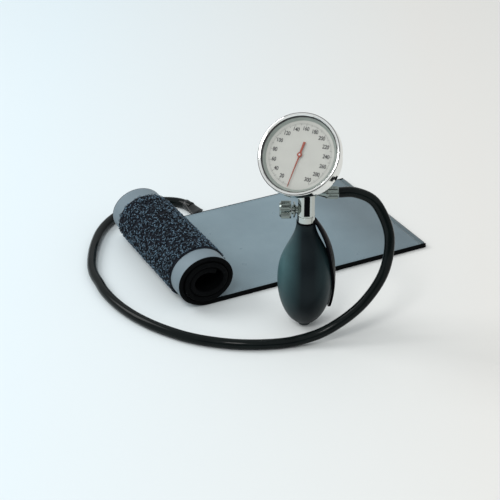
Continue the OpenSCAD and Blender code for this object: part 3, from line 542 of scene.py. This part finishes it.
def add_column_inlay():
    """A black strip down the front of the valve block's column, pointed at its top: a painted dark
    reflection.
    """
    outline = [(DARK_STRIP_LEFT, DARK_STRIP_LOW), (DARK_STRIP_RIGHT, DARK_STRIP_LOW), (DARK_STRIP_RIGHT, DARK_STRIP_SHOULDER),
               ((DARK_STRIP_LEFT + DARK_STRIP_RIGHT) / 2, DARK_STRIP_TIP), (DARK_STRIP_LEFT, DARK_STRIP_SHOULDER)]
    depths = (COLUMN_FACE_Y + DARK_STRIP_DEPTH, COLUMN_FACE_Y - DARK_STRIP_PROUD)
    points = [(x, y, z) for y in depths for x, z in outline]
    # Painted reflection: this matt black strip stands for the dark band that the plated column reflects.
    painted_reflection = black_plastic("reflection_strip_black", (0.002, 0.002, 0.003), (0.5, 0.6), 0.03)
    inlay = add_piece("column_reflection_strip", points, prism_faces(len(outline)), painted_reflection, smooth=False)
    recalculate_normals(inlay)


# ---------- bulb ----------

BULB_D, BULB_MID_Z, BULB_TOP_Z, BULB_FOOT_Z = 42.2 * MM, 39.5 * MM, 88.2 * MM, 2.2 * MM
BULB_NECK_R, BULB_LOW_R = 7.2 * MM, 38.8 * MM
BULB_SHOULDER = 1.3
BULB_FOOT_HOLE_R, BULB_TOP_HOLE_R = 3.7 * MM, 5.1 * MM
LIP_R = 0.9 * MM
MOULD_LINE_H, MOULD_LINE_HALF_W = 0.12 * MM, 0.35 * MM


def bulb_radius(z):
    """An ellipse below the bulb's middle, and a wave that narrows to the neck above it."""
    if z < BULB_MID_Z:
        return BULB_D / 2 * math.sqrt(1 - ((BULB_MID_Z - z) / BULB_LOW_R) ** 2)
    share = min(1, (z - BULB_MID_Z) / (BULB_TOP_Z - BULB_MID_Z))
    swell = 0.5 + 0.5 * math.cos(math.pi * share ** BULB_SHOULDER)
    return BULB_NECK_R + (BULB_D / 2 - BULB_NECK_R) * swell


def add_bulb():
    """The bulb's skin with its rolled lip and a fine mould line round its middle."""
    steps, lip_steps, lip_z = 90, 6, BULB_TOP_Z - LIP_R
    profile = [(BULB_FOOT_HOLE_R, BULB_FOOT_Z)]
    for i in range(steps + 1):
        z = BULB_FOOT_Z + (lip_z - BULB_FOOT_Z) * i / steps
        seam = MOULD_LINE_H * math.exp(-((z - BULB_MID_Z) / MOULD_LINE_HALF_W) ** 2)
        profile.append((bulb_radius(z) + seam, z))
    lip_middle_r = profile[-1][0] - LIP_R
    for k in range(1, lip_steps + 1):
        a = math.pi / 2 * k / lip_steps
        profile.append((lip_middle_r + LIP_R * math.cos(a), lip_z + LIP_R * math.sin(a)))
    profile.append((BULB_TOP_HOLE_R, BULB_TOP_Z))
    points, faces = lathe(profile, 96)
    bulb = add_piece("bulb_skin", points, faces, bulb_rubber())
    recalculate_normals(bulb)
    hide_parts("bulb")


# ---------- cuff ----------

FAR_CORNER = (41.3 * MM, 242.4 * MM)
CUFF_DIR = math.radians(27.5)
CUFF_W, TAIL_L, CUFF_T = 138 * MM, 202.2 * MM, 3.8 * MM
FABRIC_T, TURN_PITCH = 0.8 * MM, 4.5 * MM
ROLL_A, ROLL_B, ROLL_END = 23.2 * MM, 20.2 * MM, 936
ROLL_TAPER_A, ROLL_TAPER_B, ROLL_SKEW, ROLL_DRIFT = 0.4 / 23.2, 0.6 / 20.2, 1.4 * MM, -2 * MM
SETTLE_X, SETTLE_OVER_X, SETTLE_OVER_Z = -165 * MM, 12 * MM, 8 * MM
HEM_TURN, HEM_W, HEM_T, BORDER_W = 12, 4 * MM, 0.1 * MM, 16 * MM
BINDING_W, BINDING_T, BINDING_OVER, BINDING_EDGE_R = 1.6 * MM, 0.15 * MM, 0.3 * MM, 0.7 * MM
CLOTH_EDGE = BINDING_W * 0.4  # how far from the cuff's edge a fabric ends, inside the binding
# Turns past which each fabric is drawn black, as painted shade inside the roll.
OUTER_SHADED_FROM, INNER_SHADED_FROM = 340, 150
PILE_FROM, PILE_TO, PILE_BACKING_T = 24, 324, 0.5 * MM
HOOK_T, HOOK_SPAN = 1 * MM, 72
BLADDER_FROM, BLADDER_TO, BLADDER_EDGE = -40 * MM, 60, 8 * MM
CORE = CUFF_T / 2 - FABRIC_T
FILLING_HALF_T = CORE * 0.9
TAIL_STEP, TURN_STEP = 2.2 * MM, 4


def roll_radii(turn):
    """The roll's half width and half height, which shrink by the pitch at each turn."""
    return (r - TURN_PITCH * turn / 360 for r in (ROLL_A, ROLL_B))


def roll_point(turn):
    """The middle of the cloth (x, z) at a number of degrees into the roll."""
    a, b = roll_radii(turn)
    t = math.radians(turn)
    return np.array((-TAIL_L - a * math.sin(t), ROLL_B + CUFF_T / 2 - b * math.cos(t)))


def roll_way(turn):
    """The direction (x, z) in which the cloth runs on at that point."""
    a, b = roll_radii(turn)
    t, shrink = math.radians(turn), TURN_PITCH / 2 / math.pi
    way = np.array((-a * math.cos(t) + shrink * math.sin(t), b * math.sin(t) + shrink * math.cos(t)))
    return way / np.linalg.norm(way)


def stations(tail_from=None, turn_from=0, turn_to=ROLL_END):
    """Along the cuff: the middle points (x, z), their outward normals and how far each is rolled."""
    found = []
    if tail_from is not None:
        count = max(2, round((TAIL_L + tail_from) / TAIL_STEP))
        for i in range(count):
            x = tail_from + (-TAIL_L - tail_from) * i / count
            found.append(((x, CUFF_T / 2), (0, -1), 0))
    count = max(1, round((turn_to - turn_from) / TURN_STEP))
    for i in range(count + 1):
        turn = turn_from + (turn_to - turn_from) * i / count
        way = (-1, 0) if turn <= 0 else roll_way(turn)
        found.append((tuple(roll_point(turn)), (-way[1], way[0]), turn))
    return tuple(np.array([f[k] for f in found]) for k in range(3))


def settle(x, y, z, turn):
    """The roll as it lies: a little thicker at its near end, askew, its inner turns slipped nearer."""
    on_roll = np.clip((SETTLE_X - x) / SETTLE_OVER_X, 0, 1) * np.clip(z / SETTLE_OVER_Z, 0, 1)
    nearness = 1 - 2 * y / CUFF_W
    x = x + on_roll * (ROLL_TAPER_A * nearness * (x + TAIL_L) - ROLL_SKEW * nearness)
    z = z * (1 + on_roll * ROLL_TAPER_B * nearness)
    return x, y + ROLL_DRIFT * np.clip(turn / 360, 0, 1), z


def to_model(x, y, z, turn=0):
    """From the cuff's frame (X towards the tail's end, Y from the near edge to the far one)."""
    x, y, z = settle(x, y, z, turn)
    c, s = math.cos(CUFF_DIR), math.sin(CUFF_DIR)
    y = y - CUFF_W
    return np.stack([FAR_CORNER[0] + c * x - s * y, FAR_CORNER[1] + s * x + c * y, z], axis=-1)


def strip(name, material, places, off_in, off_out, near_y, far_y, across=48, edge_r=None, lift=None):
    """A closed layer of cloth along the cuff between two offsets, with rounded edges.

    lift(length, y) gives how far a point is raised along the outward normal.
    """
    middle, normal, turns_at = places
    length = np.concatenate([[0], np.cumsum(np.linalg.norm(np.diff(middle, axis=0), axis=1))])
    thick = off_out - off_in
    r = min(thick / 2, edge_r if edge_r is not None else thick / 2)
    ys = np.linspace(near_y + r, far_y - r, across)
    ring = [(y, off_out) for y in ys]
    for cy, start in ((far_y - r, 90), (near_y + r, 270)):
        turns = [start - k * 30 for k in range(1, 6)]
        ring += [(cy + r * math.cos(math.radians(a)), (off_out + off_in) / 2
                  + (thick / 2) * math.sin(math.radians(a))) for a in turns]
        if start == 90:
            ring += [(y, off_in) for y in ys[::-1]]
    ring = np.array(ring)
    y, off = ring[:, 0][None, :], ring[:, 1][None, :]
    raised = off + (lift(length[:, None], y) if lift else 0)
    x = middle[:, 0:1] + normal[:, 0:1] * raised
    z = middle[:, 1:2] + normal[:, 1:2] * raised
    points = to_model(x, np.broadcast_to(y, x.shape), z, turns_at[:, None]).reshape(-1, 3)
    rows, columns = x.shape
    faces = grid_faces(rows, columns) + end_faces(rows, columns)
    around = np.concatenate([[0], np.cumsum(np.linalg.norm(np.diff(ring, axis=0), axis=1))])
    uvs = [(length[v // columns], around[v % columns]) for f in faces for v in f]
    piece = add_piece(name, points, faces, material, uvs=uvs)
    recalculate_normals(piece)
    return piece


RIPPLE_H, RIPPLE_WAVE = 0.13 * MM, 0.42 * MM
RIPPLE_Y, RIPPLE_Y_REACH = 16 * MM, 11 * MM
RIPPLE_L, RIPPLE_L_REACH = 118 * MM, 42 * MM
SWELL_H = 0.25 * MM


def hump(value, middle, reach):
    """A smooth hump of height 1."""
    return np.exp(-((value - middle) / reach) ** 2)


def tail_ripples(length, y):
    """Shallow ripples by the tail's near edge and a soft swell over its middle."""
    on_tail = np.clip((TAIL_L - length) / (30 * MM), 0, 1) * np.clip(length / (12 * MM), 0, 1)
    rippled = hump(y, RIPPLE_Y, RIPPLE_Y_REACH) * hump(length, RIPPLE_L, RIPPLE_L_REACH)
    ripple = RIPPLE_H * rippled * np.sin(y / RIPPLE_WAVE + 3 * np.sin(length / (21 * MM)))
    uneven = 1 + 0.5 * np.sin(length / (19 * MM)) * np.sin(y / (23 * MM))
    swell = SWELL_H * np.sin(np.pi * np.clip(y / CUFF_W, 0, 1)) * uneven
    return on_tail * (ripple - swell)


def blacken_inside(piece, material, places, from_turn):
    """Past a turn of the roll the cloth takes the black tape's material: painted shade deep inside the
    roll.
    """
    piece.data.materials.append(material)
    turns = places[2]
    columns = len(piece.data.vertices) // len(turns)
    for face in piece.data.polygons:
        if min(turns[v // columns] for v in face.vertices) >= from_turn:
            face.material_index = 1


def add_outer_fabric(whole, black):
    """The cuff's outside, which shows as the roll's borders."""
    border = woven("cuff_border", (0.13, 0.178, 0.208), (0.18, 0.235, 0.27), roughness=(0.55, 0.7),
                   sheen=0.05)
    outer = strip("cuff_outer_sheet", border, whole, CORE, CUFF_T / 2, CLOTH_EDGE, CUFF_W - CLOTH_EDGE)
    blacken_inside(outer, black, whole, OUTER_SHADED_FROM)
    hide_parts("cuff_outer_fabric")


def add_inner_fabric(black):
    """The cuff's inside, which is the tail's upper face."""
    # The last few centimetres at the tail's end get a painted shade.
    blue = woven("cuff_nylon", (0.138, 0.208, 0.245), (0.175, 0.255, 0.295), roughness=(0.27, 0.38),
                 end_shade=0.62)
    inner_places = stations(tail_from=-HEM_W, turn_to=ROLL_END - HEM_TURN)
    inner = strip("cuff_inner_sheet", blue, inner_places, -CUFF_T / 2, -CORE, CLOTH_EDGE,
                  CUFF_W - CLOTH_EDGE, across=150, lift=tail_ripples)
    blacken_inside(inner, black, inner_places, INNER_SHADED_FROM)
    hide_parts("cuff_inner_fabric")


def add_bindings(whole, black):
    """The black tape over each long edge."""
    for name, near, far in (("binding_near", -BINDING_OVER, BINDING_W),
                            ("binding_far", CUFF_W - BINDING_W, CUFF_W + BINDING_OVER)):
        tape = strip(name, black, whole, -CUFF_T / 2 - BINDING_T, CUFF_T / 2, near, far,
                     across=4, edge_r=BINDING_EDGE_R)
        if name == "binding_near":
            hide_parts("cuff_edge_binding")


def add_hems(black):
    """The hem over the tail's end, and the one over the end inside the roll."""
    dark = woven("hem_tape", (0.05, 0.085, 0.1), (0.075, 0.115, 0.13), thread=0.6 * MM)
    tail_hem = (np.array([(0.0, CUFF_T / 2), (-HEM_W, CUFF_T / 2)]), np.array([(0, -1.0), (0, -1.0)]),
                np.zeros(2))
    hem = strip("tail_end_hem", dark, tail_hem, -CUFF_T / 2 - HEM_T, CORE, BINDING_W, CUFF_W - BINDING_W,
                across=20)
    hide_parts("cuff_end_hems")
    roll_hem = stations(turn_from=ROLL_END - HEM_TURN)
    inner_hem = strip("roll_end_hem", black, roll_hem, -CUFF_T / 2 - HEM_T, CORE, BINDING_W,
                      CUFF_W - BINDING_W, across=20)


def add_filling():
    """The flat bladder, and the lining that fills the roll past it."""
    film = rubber("bladder_rubber", (0.03, 0.03, 0.03), (0.05, 0.05, 0.05))
    bladder_places = stations(tail_from=BLADDER_FROM, turn_to=BLADDER_TO)
    bladder = strip("bladder_sheet", film, bladder_places, -FILLING_HALF_T, FILLING_HALF_T, BLADDER_EDGE,
                    CUFF_W - BLADDER_EDGE, across=16)
    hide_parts("cuff_bladder")
    felt = woven("lining_felt", (0.08, 0.09, 0.1), (0.12, 0.13, 0.14), roughness=(0.8, 0.95))
    lining_places = stations(turn_from=BLADDER_TO, turn_to=ROLL_END - HEM_TURN)
    lining = strip("lining_sheet", felt, lining_places, -FILLING_HALF_T, FILLING_HALF_T, BINDING_W * 2,
                   CUFF_W - BINDING_W * 2, across=16)
    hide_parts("cuff_lining")


def add_cuff_cloth():
    """Both fabrics, the black binding, the hems, the bladder and the lining."""
    # The black tape also serves as the painted shade on the cloth deep inside the roll.
    black = woven("binding_tape_and_roll_shade", (0.0008, 0.001, 0.0012), (0.002, 0.0024, 0.003), thread=0.7 * MM,
                  roughness=(0.6, 0.8), relief=0.1 * MM, sheen=0.0, specular=0.06)
    whole = stations(tail_from=0)
    add_outer_fabric(whole, black)
    add_inner_fabric(black)
    add_bindings(whole, black)
    add_hems(black)
    add_filling()


STITCH_PITCH, STITCH_INSET, STITCH_Z = 3.2 * MM, 1.2 * MM, CUFF_T + 0.02 * MM
STITCH_HALF_L, STITCH_HALF_W, STITCH_HALF_H = 1 * MM, 0.2 * MM, 0.14 * MM
STITCH_RINGS = ((-1.0, 0.25), (-0.8, 0.8), (0, 1), (0.8, 0.8), (1.0, 0.25))  # share along, thickness
EDGE_STITCHES, HEM_STITCHES, FIRST_HEM_STITCH_Y = range(2, 56), range(41), 4 * MM


def stitch_places():
    """Where each stitch lies on the tail, and which way it runs."""
    edges = (BINDING_W + STITCH_INSET, CUFF_W - BINDING_W - STITCH_INSET)
    along = [((-HEM_W - STITCH_PITCH * k, y), (1, 0)) for y in edges for k in EDGE_STITCHES]
    x = -HEM_W - STITCH_INSET
    return along + [((x, FIRST_HEM_STITCH_Y + STITCH_PITCH * k), (0, 1)) for k in HEM_STITCHES]


def add_stitches():
    """Two rows of thread along the tail's long edges and one across its end hem."""
    thread = woven("stitch_thread", (0.1, 0.15, 0.175), (0.16, 0.21, 0.24))
    rings, sides = len(STITCH_RINGS), 6
    stitch_faces = grid_faces(rings, sides) + end_faces(rings, sides)
    points, faces = [], []
    for (x, y), (dx, dy) in stitch_places():
        first = len(points)
        for share, size in STITCH_RINGS:
            along = STITCH_HALF_L * share
            for k in range(sides):
                a = 2 * math.pi * k / sides
                across, up = STITCH_HALF_W * size * math.cos(a), STITCH_HALF_H * size * math.sin(a)
                lx, ly = x + dx * along - dy * across, y + dy * along + dx * across
                points.append(to_model(np.array(lx), np.array(ly), np.array(STITCH_Z + up)))
        faces += [tuple(first + v for v in f) for f in stitch_faces]
    uvs = [(points[v][0], points[v][1]) for f in faces for v in f]
    add_piece("tail_stitching", points, faces, thread, uvs=uvs)


PILE_SEED = 11
PILE_LOOPS = 4200
PILE_TUBE = 0.27 * MM
PILE_R = (0.8 * MM, 1.25 * MM)
PILE_MARGIN, PILE_FOOT, PILE_LOWEST = 0.6 * MM, 0.35 * MM, 0.1 * MM
PILE_TILT, PALE_RARITY = 1.5, 1.6
CURL_FROM, CURL_SPAN, CURL_RISE = -25, 230, 0.45


def loop_points(turn, y, r, heading, lean):
    """One curl of thread in the cuff's frame, and each point's share of the curl's height."""
    steps, sides = 6, 4
    way, base = roll_way(turn), roll_point(turn)
    out = np.array((-way[1], way[0]))
    c, s = math.cos(heading), math.sin(heading)
    points, shares = [], []
    for i in range(steps + 1):
        a = math.radians(CURL_FROM + CURL_SPAN * i / steps)
        along, up = r * math.cos(a), r * (CURL_RISE + math.sin(a))
        side, up = math.sin(lean) * up, math.cos(lean) * up
        ux, uy = along * c - side * s, along * s + side * c
        for k in range(sides):
            b = 2 * math.pi * k / sides
            grow, wide = PILE_TUBE * math.cos(b), PILE_TUBE * math.sin(b)
            px = ux + grow * math.cos(a) * c - wide * s
            py = uy + grow * math.cos(a) * s + wide * c
            height = max(PILE_LOWEST, up + grow * math.sin(a))
            spot = base + way * px + out * (CUFF_T / 2 + PILE_FOOT + height)
            points.append((spot[0], y + py, spot[1]))
            shares.append(min(1, height / ((1 + CURL_RISE) * r)))
    return points, shares, grid_faces(steps + 1, sides)


def add_pile():
    """The loop patch: a backing sheet, and thousands of curly loops standing on it."""
    backing = woven("pile_backing", (0.002, 0.004, 0.008), (0.006, 0.009, 0.016), roughness=(0.8, 0.95),
                    specular=0.2, sheen=0.0)
    places = stations(turn_from=PILE_FROM, turn_to=PILE_TO)
    sheet = strip("loop_backing", backing, places, CUFF_T / 2, CUFF_T / 2 + PILE_BACKING_T, BORDER_W,
                  CUFF_W - BORDER_W, across=60)
    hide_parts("loop_patch")
    draw = np.random.default_rng(PILE_SEED)
    near = BORDER_W + PILE_MARGIN
    turn = PILE_FROM + (PILE_TO - PILE_FROM) * draw.random(PILE_LOOPS)
    y = near + (CUFF_W - 2 * near) * draw.random(PILE_LOOPS)
    size = PILE_R[0] + (PILE_R[1] - PILE_R[0]) * draw.random(PILE_LOOPS)
    heading = 2 * math.pi * draw.random(PILE_LOOPS)
    tilt = PILE_TILT * (draw.random(PILE_LOOPS) - 0.5)
    paleness = draw.random(PILE_LOOPS) ** PALE_RARITY
    points, faces, marks, turned = [], [], [], []
    for values in zip(turn, y, size, heading, tilt, paleness):
        curl, shares, curl_faces = loop_points(*values[:5])
        faces += [tuple(len(points) + v for v in f) for f in curl_faces]
        points += curl
        marks += [(share, values[5]) for share in shares]
        turned += [values[0]] * len(curl)
    local = np.array(points)
    points = to_model(local[:, 0], local[:, 1], local[:, 2], np.array(turned))
    uvs = [marks[v] for f in faces for v in f]
    loops = add_piece("loop_pile", points, faces, pile_thread(), uvs=uvs)


def add_hooks():
    """The hook patch on the inside of the roll's end."""
    tape = woven("hook_tape", (0.006, 0.007, 0.009), (0.02, 0.022, 0.026), thread=1.2 * MM,
                 roughness=(0.6, 0.8), relief=0.4 * MM)
    end = ROLL_END - HEM_TURN
    places = stations(turn_from=end - HOOK_SPAN, turn_to=end)
    hooks = strip("hook_sheet", tape, places, -CUFF_T / 2 - HOOK_T, -CUFF_T / 2, BORDER_W,
                  CUFF_W - BORDER_W, across=40)
    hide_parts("hook_patch")


# ---------- CAD nodes ----------

def finish_cad_nodes():
    """Gives every CAD node that shows its own material."""
    # Painted highlight: the gauge case and bezel get a brighter copy of the chrome.
    bright = chrome("gauge_chrome_lit", (0.82, 0.83, 0.81))
    plain_chrome = chrome("valve_chrome", (0.5, 0.53, 0.51))
    seal = rubber("seal_rubber", (0.015, 0.016, 0.018), (0.03, 0.032, 0.034))
    looks = {
        "chrome": plain_chrome, "brass": turned_metal("brass", (0.78, 0.62, 0.33)),
        "steel": turned_metal("steel", (0.6, 0.61, 0.63)), "black_rubber": seal,
        "foot_rubber": rubber("foot_rubber", (0.02, 0.026, 0.03), (0.035, 0.045, 0.05)),
        "lever_plastic": black_plastic("lever_plastic", (0.002, 0.002, 0.003), (0.26, 0.36), 0.02),
        "dial_grey": paint("dial_face", (0.547, 0.552, 0.522), 0.5),
        "spacer_grey": paint("spacer_grey", (0.29, 0.33, 0.305), 0.35),
        "pointer_red": paint("pointer_red", (0.33, 0.055, 0.025), 0.4),
        "lens_glass": lens_glass(),
    }
    for row in frame["record"]["subparts"]:
        node = nodes[row["node"]]
        if row["material_slot"] in looks:
            node.data.materials.clear()
            node.data.materials.append(looks[row["material_slot"]])
    # Painted shade: the knob, nut, nipple and gland get a much darker copy of the chrome.
    shaded_chrome = chrome("valve_chrome_shaded", (0.23, 0.265, 0.25), 0.08, 0.2)
    for look, names in ((bright, ("gauge_case", "bezel_ring")),
                        (shaded_chrome, ("valve_knob", "hose_nut", "hose_nipple", "valve_gland"))):
        for name in names:
            nodes[name].data.materials.clear()
            nodes[name].data.materials.append(look)


# ---------- floor and light ----------

FLOOR_HALF = 6
# The floor's two tints are painted light: cool towards the window, warmer and a little darker away from
# it.
FLOOR_COOL, FLOOR_WARM = (0.72, 0.81, 0.85), (0.775, 0.765, 0.735)
FLOOR_COOL_X, FLOOR_WARM_X = -0.25, 0.15
WORLD_DARK, WORLD_BRIGHT = 0.04, 0.8


def add_floor():
    """A plain pale floor, with painted light: cool on the left, where the window is, and slightly warm and
    darker on the right.
    """
    corners = [(FLOOR_HALF * x, FLOOR_HALF * y, 0) for x, y in ((-1, -1), (1, -1), (1, 1), (-1, 1))]
    mesh = bpy.data.meshes.new("floor")
    mesh.from_pydata(corners, [], [(0, 1, 2, 3)])
    floor = bpy.data.objects.new("floor", mesh)
    bpy.context.scene.collection.objects.link(floor)
    m, tree, shader = new_material("floor_paper", FLOOR_WARM, 0.7, specular=0.2)
    x = split(tree, place(tree))["X"]
    rightness = between(tree, x, 0.0, 1.0, (FLOOR_COOL_X, FLOOR_WARM_X))
    tree.links.new(between(tree, rightness, FLOOR_COOL, FLOOR_WARM, (0, 1)), shader.inputs["Base Color"])
    mesh.materials.append(m)


def add_lamp(name, at, target, size, power, colour=(1, 1, 1)):
    """A rectangular area lamp that faces a target; its power is in watts."""
    data = bpy.data.lights.new(name, "AREA")
    data.shape, data.size, data.size_y = "RECTANGLE", size[0], size[1]
    data.energy, data.color = power, colour
    lamp = bpy.data.objects.new(name, data)
    bpy.context.scene.collection.objects.link(lamp)
    lamp.location = at
    lamp.rotation_euler = (Vector(target) - Vector(at)).to_track_quat("-Z", "Y").to_euler()


def add_world():
    """A pale room: bright above and on the left, dimmer behind and far right, dark low in front."""
    world = bpy.data.worlds.new("studio")
    bpy.context.scene.world = world
    world.use_nodes = True
    tree = world.node_tree
    way = split(tree, add_node(tree, "TexCoord").outputs["Generated"])
    level = between(tree, way["Z"], 0.0, 1.0, (0.28, 0.42))
    left = between(tree, way["X"], 1.0, 0.0, (-0.7, -0.45))
    right = between(tree, way["X"], 0.0, 0.5, (0.55, 0.75))
    behind = between(tree, way["Y"], 0.0, 0.6, (0.3, 0.6))
    for part in (left, right, behind):
        level = combine(tree, "MAXIMUM", level, part)
    back = tree.nodes["Background"]
    back.inputs["Color"].default_value = (0.96, 0.985, 1, 1)
    strength = between(tree, level, WORLD_DARK, WORLD_BRIGHT, (0, 1))
    tree.links.new(strength, back.inputs["Strength"])


def add_lights():
    """A window on the left, and a small, slightly warm lamp in front for the dial."""
    centre = (-0.04, 0.08, 0.05)
    add_lamp("window", (-1.3, 0.35, 1.1), centre, (0.8, 0.8), 11)
    add_lamp("dial_light", (-0.35, -1.0, 1.35), (0, 0, 0.15), (0.35, 0.35), 6, (1, 0.99, 0.97))


# ---------- the whole ----------

add_camera()
add_hose()
finish_cad_nodes()
ink = paint("dial_ink", (0.015, 0.015, 0.018), 0.5)
add_numerals(ink)
add_scale_ticks(ink)
add_bezel_groove()
add_column_inlay()
add_bulb()
add_port_sleeve()
add_cuff_cloth()
add_stitches()
add_pile()
add_hooks()
add_floor()
add_world()
add_lights()
bpy.context.scene.view_settings.view_transform = "Standard"
